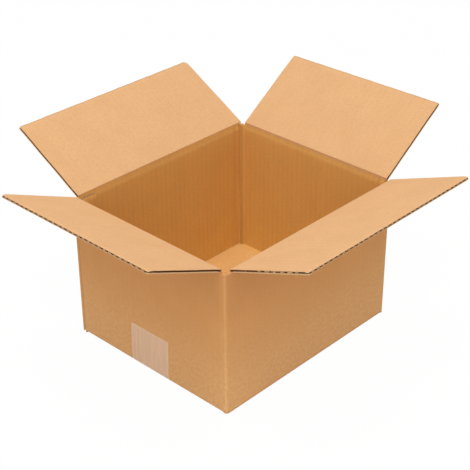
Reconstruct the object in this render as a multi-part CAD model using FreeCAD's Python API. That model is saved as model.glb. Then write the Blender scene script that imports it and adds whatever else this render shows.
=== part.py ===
"""Open corrugated shipping box with four top flaps folded outwards.

The box is one folded blank of single-wall fluted board: four walls, a glue tab inside one corner and
four bottom flaps, closed by a strip of packing tape. The four top flaps turn on their score lines.

Frame: origin in the middle of the underside, on the surface that the box stands on. +X runs along the
long walls, +Y along the short walls and +Z is up. Sizes are in millimetres, angles in degrees.
"""

import FreeCAD
import Part

import math
import os
from collections import namedtuple

# Outside of the folded box
box_length = 231.0
box_width = 198.0
short_fold_height = 150.9

# Board: two liners with a fluted medium between them
board = 3.0
liner = 0.35
medium = 0.3
flute_pitch = 6.5
flute_flank_angle = 50.0

# Flaps and the slots that part them
flap_depth = 93.0
slot_width = 10.0
slot_overcut = 0.3

# Score lines of the top flaps
hinge_stand_off = 0.15
score_half_gap = 0.3
score_band = 7.0
flap_layer_gap = 0.3

# How far each top flap leans outwards from upright
front_flap_tilt = 67.5
right_flap_tilt = 54.8
back_flap_tilt = 60.0
left_flap_tilt = 65.4

# Folds of the walls and of the bottom flaps
corner_radius = 3.0
corner_crush = 2.0
bottom_fold_radius = 3.0
bottom_fold_crush = 1.5
bottom_layer_gap = 0.15
short_fold_sag = 1.95

# Glue tab and the cut end of the wall that it joins
tab_width = 28.0
tab_drop = 0.9
tab_floor_gap = 1.0
joint_setback = 0.5
joint_bevel = 2.0

# Packing tape along the bottom seam
tape_width = 50.0
tape_thickness = 0.08
tape_bond = 0.02
tape_rise = 46.0
tape_offset = 0.6

# Worked out from the sizes above
half_length = box_length / 2
half_width = box_width / 2
long_fold_height = short_fold_height + board + flap_layer_gap
long_base = tape_thickness + tape_bond
short_base = long_base + board + bottom_layer_gap
floor_top = short_base + board
sag_run = slot_width / 2 - bottom_fold_radius
post_bottom = short_base - short_fold_sag + bottom_fold_radius + slot_overcut
post_top = short_fold_height - score_half_gap - board - slot_overcut
long_panel_width = box_length - slot_width
short_panel_width = box_width - slot_width

# A wall: its outward heading from -Y, its outer face's distance from the middle, the width between its
# slots, the height of its top fold, the underside of its bottom flap, how far and over what run the fold
# there sags below that flap beside the ends of the outer flaps, and the lean of its top flap.
Wall = namedtuple("Wall", "heading distance width fold base sag run tilt")


def long_wall(heading, tilt):
    """Wall along X with an outer bottom flap."""
    return Wall(heading, half_width, long_panel_width, long_fold_height, long_base, 0.0, 0.0, tilt)


def short_wall(heading, tilt):
    """Wall along Y with an inner bottom flap."""
    return Wall(heading, half_length, short_panel_width, short_fold_height, short_base, short_fold_sag,
                sag_run, tilt)


walls = {
    "long_flap_front": long_wall(0.0, front_flap_tilt),
    "short_flap_right": short_wall(90.0, right_flap_tilt),
    "long_flap_back": long_wall(180.0, back_flap_tilt),
    "short_flap_left": short_wall(270.0, left_flap_tilt),
}

x_axis = FreeCAD.Vector(1, 0, 0)
y_axis = FreeCAD.Vector(0, 1, 0)
z_axis = FreeCAD.Vector(0, 0, 1)
middle = FreeCAD.Vector(0, 0, 0)


def face_of(points):
    """Flat face inside a closed outline of points."""
    return Part.Face(Part.makePolygon(points + [points[0]]))


def line(start, end):
    """Straight edge between two points."""
    return Part.LineSegment(start, end).toShape()


def arc(centre, radius, start_angle, end_angle, across, along):
    """Arc about a centre in the plane of two unit vectors, from one angle to another."""
    points = []
    for share in (0.0, 0.5, 1.0):
        angle = math.radians(start_angle + share * (end_angle - start_angle))
        points.append(centre + across * (radius * math.cos(angle)) + along * (radius * math.sin(angle)))
    return Part.Arc(*points).toShape()


def face_within(edges):
    """Flat face inside edges that follow one another."""
    return Part.Face(Part.Wire(edges))


def in_place(shape, wall, height):
    """Turn a shape drawn at the middle to its wall, with its zero at the outer face and the height."""
    shape.rotate(middle, z_axis, wall.heading)
    turn = math.radians(wall.heading)
    outward = FreeCAD.Vector(math.sin(turn), -math.cos(turn), 0)
    shape.translate(outward * wall.distance + z_axis * height)
    return shape


def panel(wall):
    """Wall between its slots with its bottom flap, as one bent board, open at the top score line."""
    foot = wall.base - wall.sag
    top = wall.fold - score_half_gap
    across = board + bottom_fold_crush
    radius = bottom_fold_radius
    outline = [
        (0, top),
        (board, top - board),
        (board, foot + across),
        (across + wall.run, wall.base + board),
        (flap_depth, wall.base + board),
        (flap_depth, wall.base),
    ]
    if wall.sag:
        outline.append((radius + wall.run, wall.base))
    outline.append((radius, foot))
    points = [FreeCAD.Vector(-wall.width / 2, y, z) for y, z in outline]
    edges = [line(first, second) for first, second in zip(points, points[1:])]
    centre = FreeCAD.Vector(-wall.width / 2, radius, foot + radius)
    edges.append(arc(centre, radius, 270, 180, y_axis, z_axis))
    edges.append(line(centre - y_axis * radius, points[0]))
    return in_place(face_within(edges).extrude(x_axis * wall.width), wall, 0)


def ring():
    """Four walls round the box between the slots, with rounded folds and the cut end of the glued wall."""
    radius = corner_radius
    x = half_length
    y = half_width
    corners = [(-x + radius, -y + radius, 180, 270), (x - radius, -y + radius, 270, 360),
               (x - radius, y - radius, 0, 90)]
    edges = []
    for corner_x, corner_y, start, end in corners:
        centre = FreeCAD.Vector(corner_x, corner_y, post_bottom)
        edges.append(arc(centre, radius, start, end, x_axis, y_axis))
    joint = [(-x + joint_setback, y), (-x + joint_setback, y - board), (-x + joint_bevel, y - board),
             (-x, y - board - joint_bevel)]
    joint_points = [FreeCAD.Vector(px, py, post_bottom) for px, py in joint]
    joint_edges = [line(first, second) for first, second in zip(joint_points, joint_points[1:])]
    sides = [line(first.Vertexes[-1].Point, second.Vertexes[0].Point)
             for first, second in zip(edges, edges[1:])]
    ends = [line(edges[-1].Vertexes[-1].Point, joint_points[0]),
            line(joint_points[-1], edges[0].Vertexes[0].Point)]
    outside = Part.Wire(Part.__sortEdges__(edges + sides + joint_edges + ends))
    inner_x = x - board
    inner_y = y - board
    crush = corner_crush
    inside = []
    for side_x, side_y, turned in ((-1, -1, False), (1, -1, True), (1, 1, False), (-1, 1, True)):
        pair = [(side_x * inner_x, side_y * (inner_y - crush)), (side_x * (inner_x - crush), side_y * inner_y)]
        inside.extend(reversed(pair) if turned else pair)
    hollow = face_of([FreeCAD.Vector(px, py, post_bottom) for px, py in inside])
    return Part.Face(outside).cut(hollow).extrude(z_axis * (post_top - post_bottom))


def glue_tab():
    """Tab folded from the left wall and glued inside the back wall."""
    foot = floor_top + tab_floor_gap
    height = post_top - tab_drop - foot
    corner = FreeCAD.Vector(-half_length + board, half_width - 2 * board, foot)
    return Part.makeBox(tab_width, board, height, corner)


def box_body():
    """Walls, bottom flaps and glue tab of the folded blank."""
    shape = ring()
    for wall in walls.values():
        shape = shape.fuse(panel(wall))
    return shape.fuse(glue_tab()).removeSplitter()


def flute_hollow(centre, side):
    """Section of one air channel of the fluted medium, with its broad side against one liner."""
    flank = math.tan(math.radians(flute_flank_angle))
    half_space = board / 2 - liner
    slant = medium / math.sin(math.radians(flute_flank_angle))
    half_middle = flute_pitch / 4 - slant / 2
    half_broad = half_middle + half_space / flank
    half_narrow = half_middle - (half_space - medium) / flank
    depth = board / 2 + hinge_stand_off
    broad = depth + side * half_space
    narrow = depth - side * (half_space - medium)
    outline = [(-half_broad, broad), (half_broad, broad), (half_narrow, narrow), (-half_narrow, narrow)]
    return face_of([FreeCAD.Vector(centre + x, y, score_band) for x, y in outline])


def top_flap(wall):
    """Top flap: a solid crushed band along the score line, then fluted board to the cut free edge."""
    half = wall.width / 2
    outer = hinge_stand_off
    inner = outer + board
    root = [(outer, score_half_gap), (inner, score_half_gap + board), (inner, score_band),
            (outer, score_band)]
    band = face_of([FreeCAD.Vector(-half, y, z) for y, z in root]).extrude(x_axis * wall.width)
    corners = [(-half, outer), (half, outer), (half, inner), (-half, inner)]
    section = face_of([FreeCAD.Vector(x, y, score_band) for x, y in corners])
    count = int(wall.width / flute_pitch) + 1
    hollows = [flute_hollow(index * flute_pitch / 2, 1 if index % 2 == 0 else -1)
               for index in range(-count, count + 1)]
    fluted = section.cut(hollows).extrude(z_axis * (flap_depth - score_band))
    flap = band.fuse(fluted).removeSplitter()
    flap.rotate(middle, x_axis, wall.tilt)
    flap.translate(FreeCAD.Vector(0, -hinge_stand_off, 0))
    return in_place(flap, wall, wall.fold)


def bottom_tape():
    """Strip of tape under the bottom seam, turned up on both short walls, pulled straight over the step."""
    radius = bottom_fold_radius
    centre = FreeCAD.Vector(-half_length + radius, 0, short_base - short_fold_sag + radius)
    edge = FreeCAD.Vector(-half_length + slot_width / 2, 0, long_base)
    reach = edge - centre
    heading = math.degrees(math.atan2(reach.z, reach.x))
    normal_angle = heading % 360 - math.degrees(math.acos(radius / reach.Length))
    normal = x_axis * math.cos(math.radians(normal_angle)) + z_axis * math.sin(math.radians(normal_angle))
    half = []
    for stand_off in (tape_bond, tape_bond + tape_thickness):
        bend = radius + stand_off
        underside = long_base - stand_off
        corner_x = centre.x + (bend - normal.z * (underside - centre.z)) / normal.x
        half.append({
            "top": FreeCAD.Vector(centre.x - bend, 0, tape_rise),
            "start": FreeCAD.Vector(centre.x - bend, 0, centre.z),
            "bend": bend,
            "end": centre + normal * bend,
            "corner": FreeCAD.Vector(corner_x, 0, underside),
            "middle": FreeCAD.Vector(0, 0, underside),
        })
    inner, outer = half
    edges = [line(inner["top"], outer["top"])]
    for side in (outer, inner):
        edges.append(line(side["top"], side["start"]))
        edges.append(arc(centre, side["bend"], 180, normal_angle, x_axis, z_axis))
        edges.append(line(side["end"], side["corner"]))
        edges.append(line(side["corner"], side["middle"]))
    edges.append(line(inner["middle"], outer["middle"]))
    section = Part.Face(Part.Wire(Part.__sortEdges__(edges)))
    left = section.extrude(y_axis * tape_width)
    left.translate(y_axis * (tape_offset - tape_width / 2))
    right = left.mirror(middle, x_axis)
    return left.fuse(right).removeSplitter()


def save(name, shape):
    """Write one sub-part to its own file."""
    shape.exportStep(os.path.join("parts", name + ".step"))


os.makedirs("parts", exist_ok=True)
save("box_body", box_body())
for flap_name, flap_wall in walls.items():
    save(flap_name, top_flap(flap_wall))
save("bottom_tape", bottom_tape())
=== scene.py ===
"""Looks of an open corrugated shipping box with its four top flaps folded outwards.

The box is drawn as the folded blank that it is: skins of kraft liner, a fluted medium that shows where the
board is cut, scored folds and a strip of packing tape. All places are in metres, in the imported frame.
"""

import logging
import math
from dataclasses import dataclass, field
from enum import Enum, IntEnum

import bmesh
import bpy
import numpy as np
from mathutils import Matrix, Vector


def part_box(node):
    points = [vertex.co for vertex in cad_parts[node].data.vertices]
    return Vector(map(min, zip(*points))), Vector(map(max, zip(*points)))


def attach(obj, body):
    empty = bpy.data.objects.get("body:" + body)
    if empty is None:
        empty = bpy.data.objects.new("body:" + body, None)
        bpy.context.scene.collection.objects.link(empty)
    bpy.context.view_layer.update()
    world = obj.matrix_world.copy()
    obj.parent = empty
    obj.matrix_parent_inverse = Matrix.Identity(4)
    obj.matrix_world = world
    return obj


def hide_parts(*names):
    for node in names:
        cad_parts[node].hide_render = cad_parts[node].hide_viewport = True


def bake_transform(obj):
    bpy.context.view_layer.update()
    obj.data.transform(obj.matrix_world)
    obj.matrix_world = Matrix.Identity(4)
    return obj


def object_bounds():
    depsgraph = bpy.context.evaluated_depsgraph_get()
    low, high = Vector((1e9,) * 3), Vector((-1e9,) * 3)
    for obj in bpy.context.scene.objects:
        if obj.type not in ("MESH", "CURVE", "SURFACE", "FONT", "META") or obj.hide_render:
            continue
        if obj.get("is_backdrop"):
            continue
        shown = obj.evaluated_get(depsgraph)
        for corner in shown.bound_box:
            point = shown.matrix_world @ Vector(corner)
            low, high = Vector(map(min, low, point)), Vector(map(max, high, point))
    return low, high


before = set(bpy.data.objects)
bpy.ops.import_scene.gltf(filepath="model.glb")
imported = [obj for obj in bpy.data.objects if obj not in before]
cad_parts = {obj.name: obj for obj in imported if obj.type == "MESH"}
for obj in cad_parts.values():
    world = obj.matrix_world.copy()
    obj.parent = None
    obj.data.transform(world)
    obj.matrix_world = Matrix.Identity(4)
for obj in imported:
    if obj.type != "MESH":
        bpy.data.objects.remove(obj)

MM = 0.001
BLANK = "blank"
# Attribute of wear together with painted light and shade.
WEAR_AND_LIGHT = "wear"
Rgba = tuple[float, float, float, float]
Skins = tuple[np.ndarray, ...]
log = logging.getLogger("box")


class Surface(IntEnum):
    """Material slot numbers of a board piece."""

    OUTER = 0
    INNER = 1
    CUT = 2
    PULP = 3
    # Surfaces inside the board, painted dark as the shade within the flutes.
    FLUTE_SHADE = 4


class Side(Enum):
    """A wall of the box, by the heading of a walk along it with the inside on the left, in degrees."""

    FRONT = 0.0
    RIGHT = 90.0
    BACK = 180.0
    LEFT = 270.0


def smooth(value: np.ndarray) -> np.ndarray:
    """Ease from 0 to 1 as the value goes from 0 to 1."""
    held = np.clip(value, 0.0, 1.0)
    return held * held * (3.0 - 2.0 * held)


def bump(value: np.ndarray, middle: float, width: float) -> np.ndarray:
    """Bell curve of height 1 at the middle."""
    return np.exp(-(((value - middle) / width) ** 2))


def wander(value: np.ndarray, seed: float, wave: float) -> np.ndarray:
    """Uneven curve between about -1 and 1, the same on every run.

    Args:
        value: Place along the curve.
        seed: Shift that tells one curve from another.
        wave: Length of the longest wave.

    Returns:
        Height of the curve at each place.
    """
    turn = 2.0 * math.pi * value / wave
    first = np.sin(turn + seed)
    second = 0.6 * np.sin(2.3 * turn + 1.7 * seed)
    third = 0.35 * np.sin(5.1 * turn + 2.9 * seed)
    return (first + second + third) / 1.95


def toned(colour: Rgba, red: float, green: float, blue: float) -> Rgba:
    """Multiply the three parts of a colour."""
    return red * colour[0], green * colour[1], blue * colour[2], 1.0


@dataclass(frozen=True)
class Board:
    """Single-wall fluted board and how it is scored."""

    thickness: float = 3.0 * MM
    liner: float = 0.35 * MM
    medium: float = 0.28 * MM
    pitch: float = 6.5 * MM
    outer_ripple: float = 0.015 * MM
    inner_ripple: float = 0.05 * MM
    score_thickness: float = 1.9 * MM
    wall_reach: float = 5.5 * MM
    flap_reach: float = 0.6 * MM
    columns_per_flute: int = 6

    def depth(self, reach: np.ndarray, on_flap: bool) -> np.ndarray:
        """Thickness at a distance from a score line: pressed thin, eased over the wall, steep at the flap."""
        width = self.flap_reach if on_flap else self.wall_reach
        return self.thickness - (self.thickness - self.score_thickness) * (1.0 - smooth(reach / width))

    def ripple(self, across: np.ndarray, inner: bool) -> np.ndarray:
        """How far a liner stands out from the board where the flutes print through."""
        wave = np.cos(2.0 * math.pi * across / self.pitch)
        return -self.inner_ripple * wave if inner else self.outer_ripple * wave

    def columns(self, low: float, high: float) -> np.ndarray:
        """Even places across the flutes, close enough to show each one."""
        count = max(1, round((high - low) / self.pitch * self.columns_per_flute))
        return np.linspace(low, high, count + 1)


class SheetMesh:
    """Points and faces of a board piece, gathered before its mesh is made."""

    def __init__(self, name: str) -> None:
        """Start an empty piece with its name."""
        self.name = name
        self.points: list[np.ndarray] = []
        self.blank: list[np.ndarray] = []
        self.wear: list[np.ndarray] = []
        self.faces: list[np.ndarray] = []
        self.surfaces: list[np.ndarray] = []
        self.count = 0

    def add(self, points: np.ndarray, blank: np.ndarray, wear: np.ndarray | float = 0.0) -> np.ndarray:
        """Add a grid of points.

        Args:
            points: Places, rows by columns by 3.
            blank: Places across, up and through the flat blank, of the same shape.
            wear: Wear and painted light at each point, from -1 (darker: painted shade and darker rims) over 0
                to 1 (lighter: rubbed wear and painted light).

        Returns:
            Point numbers, rows by columns.
        """
        shape = points.shape[:-1]
        total = int(np.prod(shape))
        self.points.append(points.reshape(-1, 3))
        self.blank.append(np.broadcast_to(blank, points.shape).reshape(-1, 3))
        self.wear.append(np.broadcast_to(wear, shape).reshape(-1))
        numbers = np.arange(self.count, self.count + total).reshape(shape)
        self.count += total
        return numbers

    def quads(self, corners: list[np.ndarray], surface: np.ndarray | Surface) -> None:
        """Add faces from four arrays of point numbers, of one surface or each of its own."""
        faces = np.stack(corners, axis=-1).reshape(-1, 4)
        self.faces.append(faces)
        self.surfaces.append(np.broadcast_to(surface, len(faces)).astype(int))

    def slab(self, outer: np.ndarray, inner: np.ndarray, surfaces: tuple[Surface, Surface, Surface],
             mask: np.ndarray | None = None, cuts: np.ndarray | None = None) -> None:
        """Close two grids of point numbers into a slab.

        Args:
            outer: Grid on one face.
            inner: Grid of the same shape on the other face.
            surfaces: Surfaces of the outer face, the inner face and the edges.
            mask: Which cells of the grid hold board, or None for all of them.
            cuts: Surface of the edges for each column of cells, where they differ.
        """
        if mask is None:
            mask = np.ones((outer.shape[0] - 1, outer.shape[1] - 1), bool)
        for grid, surface in ((outer, surfaces[0]), (inner, surfaces[1])):
            cells = [grid[:-1, :-1], grid[:-1, 1:], grid[1:, 1:], grid[1:, :-1]]
            self.quads([cell[mask] for cell in cells], surface)
        if cuts is None:
            cuts = np.full(mask.shape[1], int(surfaces[2]))
        padded = np.pad(mask, 1)
        level = padded[1:, 1:-1] != padded[:-1, 1:-1]
        self.quads([outer[:, :-1][level], outer[:, 1:][level], inner[:, 1:][level], inner[:, :-1][level]],
                   np.broadcast_to(cuts, level.shape)[level])
        upright = padded[1:-1, 1:] != padded[1:-1, :-1]
        beside = np.append(cuts, cuts[-1])
        self.quads([outer[:-1, :][upright], outer[1:, :][upright], inner[1:, :][upright],
                    inner[:-1, :][upright]], np.broadcast_to(beside, upright.shape)[upright])

    def build(self, materials: list[bpy.types.Material], sharp: float = 32.0) -> bpy.types.Object:
        """Make the piece, with its faces turned outwards.

        Args:
            materials: One material for each surface.
            sharp: Angle in degrees over which an edge stays sharp.

        Returns:
            The new object.
        """
        faces = np.concatenate(self.faces)
        used, renumbered = np.unique(faces, return_inverse=True)
        mesh = bpy.data.meshes.new(self.name)
        mesh.from_pydata(np.concatenate(self.points)[used].tolist(), [], renumbered.reshape(-1, 4).tolist())
        blank = mesh.attributes.new(BLANK, "FLOAT_VECTOR", "POINT")
        blank.data.foreach_set("vector", np.concatenate(self.blank)[used].astype(np.float32).ravel())
        wear = mesh.attributes.new(WEAR_AND_LIGHT, "FLOAT", "POINT")
        wear.data.foreach_set("value", np.concatenate(self.wear)[used].astype(np.float32))
        mesh.polygons.foreach_set("material_index", np.concatenate(self.surfaces).astype(np.int32))
        work = bmesh.new()
        work.from_mesh(mesh)
        bmesh.ops.recalc_face_normals(work, faces=work.faces)
        work.to_mesh(mesh)
        work.free()
        for material in materials:
            mesh.materials.append(material)
        mesh.shade_smooth()
        mesh.set_sharp_from_angle(angle=math.radians(sharp))
        piece = bpy.data.objects.new(self.name, mesh)
        bpy.context.scene.collection.objects.link(piece)
        log.info("%s: %d points, %d faces", self.name, len(used), len(faces))
        return piece


@dataclass(frozen=True)
class BoxSizes:
    """Outside sizes of the folded box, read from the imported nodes, and its folds as the eye sees them."""

    half_length: float
    half_width: float
    base: float
    long_crease: float = 150.2 * MM
    short_crease: float = 150.9 * MM
    ring_high: float = 149.85 * MM
    ring_low: float = 4.4 * MM

    @classmethod
    def from_frame(cls) -> "BoxSizes":
        """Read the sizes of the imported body."""
        low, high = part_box("box_body")
        return cls(half_length=high[0], half_width=high[1], base=low[2])


@dataclass(frozen=True)
class Wall:
    """Where a wall stands, how far its cut edges stand from the corners, and how its top flap leans.

    Along a wall, places run from its middle in the direction of its heading. The slots are the distances
    from the outer corners to the flap's edges. The flap's reach is where the middle of its free edge
    stands: how far outside the wall's outer face, and how high above the floor.
    """

    side: Side
    sizes: BoxSizes
    slot_before: float
    slot_after: float
    reach_out: float = 0.0
    reach_up: float = 0.0
    corner_clear: float = 3.2 * MM
    half_board: float = 1.5 * MM

    @property
    def long(self) -> bool:
        """Whether the wall runs along X."""
        return self.side in (Side.FRONT, Side.BACK)

    @property
    def half(self) -> float:
        """Distance from the wall's middle to its outer corners."""
        return self.sizes.half_length if self.long else self.sizes.half_width

    @property
    def distance(self) -> float:
        """Distance of the outer face from the middle of the box."""
        return self.sizes.half_width if self.long else self.sizes.half_length

    @property
    def crease(self) -> float:
        """Height of the score line of the top flap."""
        return self.sizes.long_crease if self.long else self.sizes.short_crease

    @property
    def low(self) -> float:
        """Place of the panel's first cut edge."""
        return self.slot_before - self.half

    @property
    def high(self) -> float:
        """Place of the panel's second cut edge."""
        return self.half - self.slot_after

    @property
    def panel_low(self) -> float:
        """Place of the wall's first cut edge, which stays clear of the rounded corner."""
        return max(self.slot_before, self.corner_clear) - self.half

    @property
    def panel_high(self) -> float:
        """Place of the wall's second cut edge, which stays clear of the rounded corner."""
        return self.half - max(self.slot_after, self.corner_clear)

    @property
    def along(self) -> np.ndarray:
        """Unit vector along the wall."""
        turn = math.radians(self.side.value)
        return np.array([math.cos(turn), math.sin(turn), 0.0])

    @property
    def inward(self) -> np.ndarray:
        """Unit vector into the box."""
        turn = math.radians(self.side.value)
        return np.array([-math.sin(turn), math.cos(turn), 0.0])

    @property
    def middle_across(self) -> float:
        """Place of the wall's middle across the flat blank."""
        start = 0.0
        for side in (Side.LEFT, Side.FRONT, Side.RIGHT, Side.BACK):
            half = self.sizes.half_length if side in (Side.FRONT, Side.BACK) else self.sizes.half_width
            if side is self.side:
                return start + half
            start += 2.0 * half
        return start

    def point(self, along: np.ndarray, inward: np.ndarray, up: np.ndarray) -> np.ndarray:
        """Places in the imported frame.

        Args:
            along: Distance along the wall from its middle.
            inward: Distance inwards from the outer face.
            up: Height above the floor.

        Returns:
            One point for each place.
        """
        along, inward, up = np.broadcast_arrays(along, inward, up)
        places = along[..., None] * self.along + (inward - self.distance)[..., None] * self.inward
        places[..., 2] = up
        return places

    @property
    def tilt(self) -> float:
        """Lean of the top flap outwards from upright, in radians."""
        out, up = self.reach_out, self.reach_up - self.crease
        return math.atan2(out, up) + math.asin(self.half_board / math.hypot(out, up))

    @property
    def flap_depth(self) -> float:
        """Depth of the top flap from its score line to its free edge."""
        span = math.hypot(self.reach_out, self.reach_up - self.crease)
        return math.sqrt(span**2 - self.half_board**2)


class Graph:
    """Short ways to add and join shader nodes in one tree."""

    def __init__(self, tree: bpy.types.NodeTree) -> None:
        """Work in one node tree."""
        self.tree = tree

    def node(self, kind: str, inputs: dict | None = None, **settings: object) -> bpy.types.Node:
        """Add a node.

        Args:
            kind: Node type in full.
            inputs: Value or output socket for each input, by name or number.
            settings: Other settings of the node.

        Returns:
            The new node.
        """
        made = self.tree.nodes.new(kind)
        for name, value in settings.items():
            setattr(made, name, value)
        for key, value in (inputs or {}).items():
            if isinstance(value, bpy.types.NodeSocket):
                self.tree.links.new(value, made.inputs[key])
            else:
                made.inputs[key].default_value = value
        return made

    def math(self, operation: str, *values: object) -> bpy.types.NodeSocket:
        """Add a math node and return its result."""
        return self.node("ShaderNodeMath", dict(enumerate(values)), operation=operation).outputs[0]

    def mix(self, share: object, first: object, second: object) -> bpy.types.NodeSocket:
        """Mix two colours and return the result."""
        return self.node("ShaderNodeMix", {0: share, 6: first, 7: second}, data_type="RGBA").outputs[2]

    def noise(self, place: object, scale: float, detail: float = 3.0,
              rough: float = 0.55) -> bpy.types.NodeSocket:
        """Add fractal noise and return its value."""
        inputs = {"Vector": place, "Scale": scale, "Detail": detail, "Roughness": rough}
        return self.node("ShaderNodeTexNoise", inputs).outputs["Fac"]

    def ramp(self, value: object, low: float, high: float, to_low: float = 0.0,
             to_high: float = 1.0) -> bpy.types.NodeSocket:
        """Ease a value from one range to another and return the result."""
        inputs = {0: value, 1: low, 2: high, 3: to_low, 4: to_high}
        return self.node("ShaderNodeMapRange", inputs, interpolation_type="SMOOTHSTEP").outputs[0]

    def stretch(self, place: object, scale: tuple[float, float, float]) -> bpy.types.NodeSocket:
        """Scale a vector and return the result."""
        return self.node("ShaderNodeVectorMath", {0: place, 1: scale}, operation="MULTIPLY").outputs[0]

    def attribute(self, name: str, output: str) -> bpy.types.NodeSocket:
        """Read an attribute of the mesh."""
        return self.node("ShaderNodeAttribute", attribute_name=name).outputs[output]


    def seen(self) -> bpy.types.NodeSocket:
        """Whether the camera sees the surface, straight on, in a gloss or through the film."""
        rays = self.node("ShaderNodeLightPath").outputs
        shine = self.math("MAXIMUM", rays["Is Glossy Ray"], rays["Is Transmission Ray"])
        return self.math("MAXIMUM", rays["Is Camera Ray"], shine)


COLOUR, NUMBER, PLACE = "NodeSocketColor", "NodeSocketFloat", "NodeSocketVector"


def shader_group(name: str, inputs: dict[str, tuple[str, object]], outputs: dict[str, str]) -> tuple:
    """Start a shader node group.

    Args:
        name: Name of the group.
        inputs: Socket type and starting value of each input.
        outputs: Socket type of each output.

    Returns:
        The group's graph, its input node and its output node.
    """
    tree = bpy.data.node_groups.new(name, "ShaderNodeTree")
    for label, (kind, value) in inputs.items():
        socket = tree.interface.new_socket(name=label, in_out="INPUT", socket_type=kind)
        if value is not None:
            socket.default_value = value
    for label, kind in outputs.items():
        tree.interface.new_socket(name=label, in_out="OUTPUT", socket_type=kind)
    graph = Graph(tree)
    return graph, graph.node("NodeGroupInput"), graph.node("NodeGroupOutput")


def kraft_paper() -> bpy.types.NodeTree:
    """Node group of kraft liner: cloudy formation, fibres, specks and the print of the flutes.

    Returns:
        The group, which gives the paper's colour, its relief and a mask of its fibres.
    """
    graph, given, result = shader_group(
        "Kraft paper",
        {"Vector": (PLACE, None), "Paper": (COLOUR, (0.6, 0.33, 0.13, 1.0)),
         "Shade": (COLOUR, (0.4, 0.2, 0.07, 1.0)), "Light": (COLOUR, (0.8, 0.5, 0.25, 1.0)),
         "Clouds": (NUMBER, 0.5), "Fibres": (NUMBER, 0.5), "Specks": (NUMBER, 0.5),
         "Flute print": (NUMBER, 0.2), "Flute pitch": (NUMBER, 0.0065)},
        {"Color": COLOUR, "Height": NUMBER, "Fibre mask": NUMBER},
    )
    place = given.outputs["Vector"]
    shade, light, amount = given.outputs["Shade"], given.outputs["Light"], given.outputs["Fibres"]
    clouds = graph.noise(graph.stretch(place, (1.0, 0.7, 1.0)), 42.0, 5.0, 0.6)
    formation = graph.noise(graph.stretch(place, (1.0, 1.3, 1.0)), 380.0, 3.0, 0.6)
    along = graph.noise(graph.stretch(place, (0.9, 6.0, 1.0)), 420.0, 2.0, 0.5)
    crossing = graph.noise(graph.stretch(place, (4.0, 0.9, 1.0)), 480.0, 2.0, 0.5)
    dark_specks = graph.noise(graph.stretch(place, (1.0, 2.0, 1.0)), 900.0, 1.0, 0.4)
    pale_specks = graph.noise(graph.stretch(place, (1.6, 1.0, 1.0)), 760.0, 1.0, 0.4)

    colour = graph.mix(graph.math("MULTIPLY", graph.ramp(clouds, 0.35, 0.68), given.outputs["Clouds"]),
                       given.outputs["Paper"], shade)
    grain = graph.math("MULTIPLY", graph.ramp(formation, 0.40, 0.72, 0.0, 0.45), amount)
    colour = graph.mix(grain, colour, shade)
    fibre = graph.math("MAXIMUM", graph.ramp(along, 0.60, 0.74), graph.ramp(crossing, 0.64, 0.76))
    colour = graph.mix(graph.math("MULTIPLY", graph.math("MULTIPLY", fibre, amount), 0.5), colour, light)
    colour = graph.mix(graph.math("MULTIPLY", graph.ramp(dark_specks, 0.70, 0.78), given.outputs["Specks"]),
                       colour, shade)
    colour = graph.mix(graph.math("MULTIPLY", graph.ramp(pale_specks, 0.71, 0.79), given.outputs["Specks"]),
                       colour, light)

    across = graph.node("ShaderNodeSeparateXYZ", {0: place}).outputs[0]
    turns = graph.math("MULTIPLY", graph.math("DIVIDE", across, given.outputs["Flute pitch"]), 2.0 * math.pi)
    crest = graph.math("POWER", graph.math("MULTIPLY_ADD", graph.math("COSINE", turns), 0.5, 0.5), 3.0)
    uneven = graph.ramp(graph.noise(graph.stretch(place, (1.0, 0.12, 1.0)), 160.0), 0.3, 0.7, 0.35, 1.0)
    lines = graph.math("MULTIPLY", graph.math("MULTIPLY", crest, uneven), given.outputs["Flute print"])
    colour = graph.mix(lines, colour, shade)
    relief = graph.math("MULTIPLY_ADD", formation, 0.6, graph.math("MULTIPLY", fibre, 0.4))
    graph.tree.links.new(colour, result.inputs["Color"])
    graph.tree.links.new(relief, result.inputs["Height"])
    graph.tree.links.new(fibre, result.inputs["Fibre mask"])
    return graph.tree


def board_section() -> bpy.types.NodeTree:
    """Node group of a cut through the board: liners and a wavy medium with hollows between, where shade is
    painted.

    Returns:
        The group, which gives a mask that is 1 on paper and 0 in the hollows.
    """
    graph, given, result = shader_group(
        "Board section",
        {"Vector": (PLACE, None), "Thickness": (NUMBER, 0.003), "Liner": (NUMBER, 0.00035),
         "Medium": (NUMBER, 0.0003), "Flute pitch": (NUMBER, 0.0065)},
        {"Paper": NUMBER},
    )
    parts = graph.node("ShaderNodeSeparateXYZ", {0: given.outputs["Vector"]})
    half = graph.math("MULTIPLY", given.outputs["Thickness"], 0.5)
    level = graph.math("SUBTRACT", parts.outputs[2], half)
    reach = graph.math("SUBTRACT", half, given.outputs["Liner"])
    turns = graph.math("MULTIPLY", graph.math("DIVIDE", parts.outputs[0], given.outputs["Flute pitch"]),
                       2.0 * math.pi)
    wave = graph.math("MULTIPLY", graph.math("COSINE", turns), reach)
    gap = graph.math("ABSOLUTE", graph.math("ADD", level, wave))
    medium = graph.math("LESS_THAN", gap, graph.math("MULTIPLY", given.outputs["Medium"], 0.9))
    liner = graph.math("GREATER_THAN", graph.math("ABSOLUTE", level), reach)
    graph.tree.links.new(graph.math("MAXIMUM", medium, liner), result.inputs["Paper"])
    return graph.tree


def new_material(name: str) -> tuple[bpy.types.Material, Graph, bpy.types.Node]:
    """Start a material with an empty tree and its output node."""
    material = bpy.data.materials.new(name)
    material.use_nodes = True
    material.node_tree.nodes.clear()
    graph = Graph(material.node_tree)
    return material, graph, graph.node("ShaderNodeOutputMaterial")


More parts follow.
